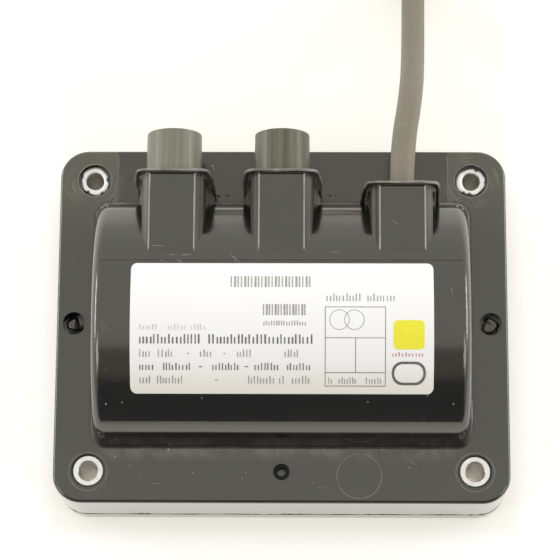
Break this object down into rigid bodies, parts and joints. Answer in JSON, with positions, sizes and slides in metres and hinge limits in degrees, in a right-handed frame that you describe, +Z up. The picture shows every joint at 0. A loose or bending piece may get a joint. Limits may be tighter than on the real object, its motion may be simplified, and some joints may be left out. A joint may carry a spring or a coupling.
{
  "type": "ignition transformer",
  "caption": "Potted ignition transformer: black flanged housing with rounded bulge, rear high-voltage socket tubes, supply cable and corner mounting eyelets.",
  "frame": {"origin": "middle of the four mounting holes, on the surface that the base cover stands on", "axes": "+Z up out of the mounting surface, +Y the way the sockets and the cable leave, +X along the bulge"},
  "size_m": [0.1188, 0.2387, 0.0522],
  "materials": {
    "housing": "satin",
    "base_cover": "satin",
    "eyelet": "tin plated",
    "label": "matt film",
    "core_steel": "oxide coated",
    "card": "matt",
    "bobbin": "satin",
    "winding": "enamelled copper wire",
    "terminal": "turned",
    "bare_wire": "tinned copper",
    "core_brown": "satin",
    "core_blue": "satin",
    "core_green_yellow": "satin",
    "cable_sheath": "satin",
    "tie": "satin",
    "ferrule": "tin plated",
    "potting": "matt"
  },
  "bodies": {
    "root": {"base_cover": "base_cover", "centre_tap_link": "bare_wire", "coil_tie": "tie", "core_i_stack": "core_steel", "core_u_stack": "core_steel", "earth_lead": "core_green_yellow", "earth_tag": "terminal", "end_core_earth": "core_green_yellow", "end_core_live": "core_brown", "end_core_neutral": "core_blue", "end_ferrule_earth": "ferrule", "end_ferrule_live": "ferrule", "end_ferrule_neutral": "ferrule", "eyelet_front_left": "eyelet", "eyelet_front_right": "eyelet", "eyelet_rear_left": "eyelet", "eyelet_rear_right": "eyelet", "housing": "housing", "hv_lead_left": "bare_wire", "hv_lead_right": "bare_wire", "hv_left_bobbin": "bobbin", "hv_left_winding": "winding", "hv_right_bobbin": "bobbin", "hv_right_winding": "winding", "hv_terminal_left": "terminal", "hv_terminal_right": "terminal", "live_lead": "core_brown", "neutral_lead": "core_blue", "potting_compound": "potting", "primary_bobbin": "bobbin", "primary_winding": "winding", "rating_label": "label", "shunt_pack": "core_steel", "shunt_spacer_lower": "card", "shunt_spacer_upper": "card", "supply_cable": "cable_sheath", "supply_cable_coil": "cable_sheath"}
  },
  "joints": []
}
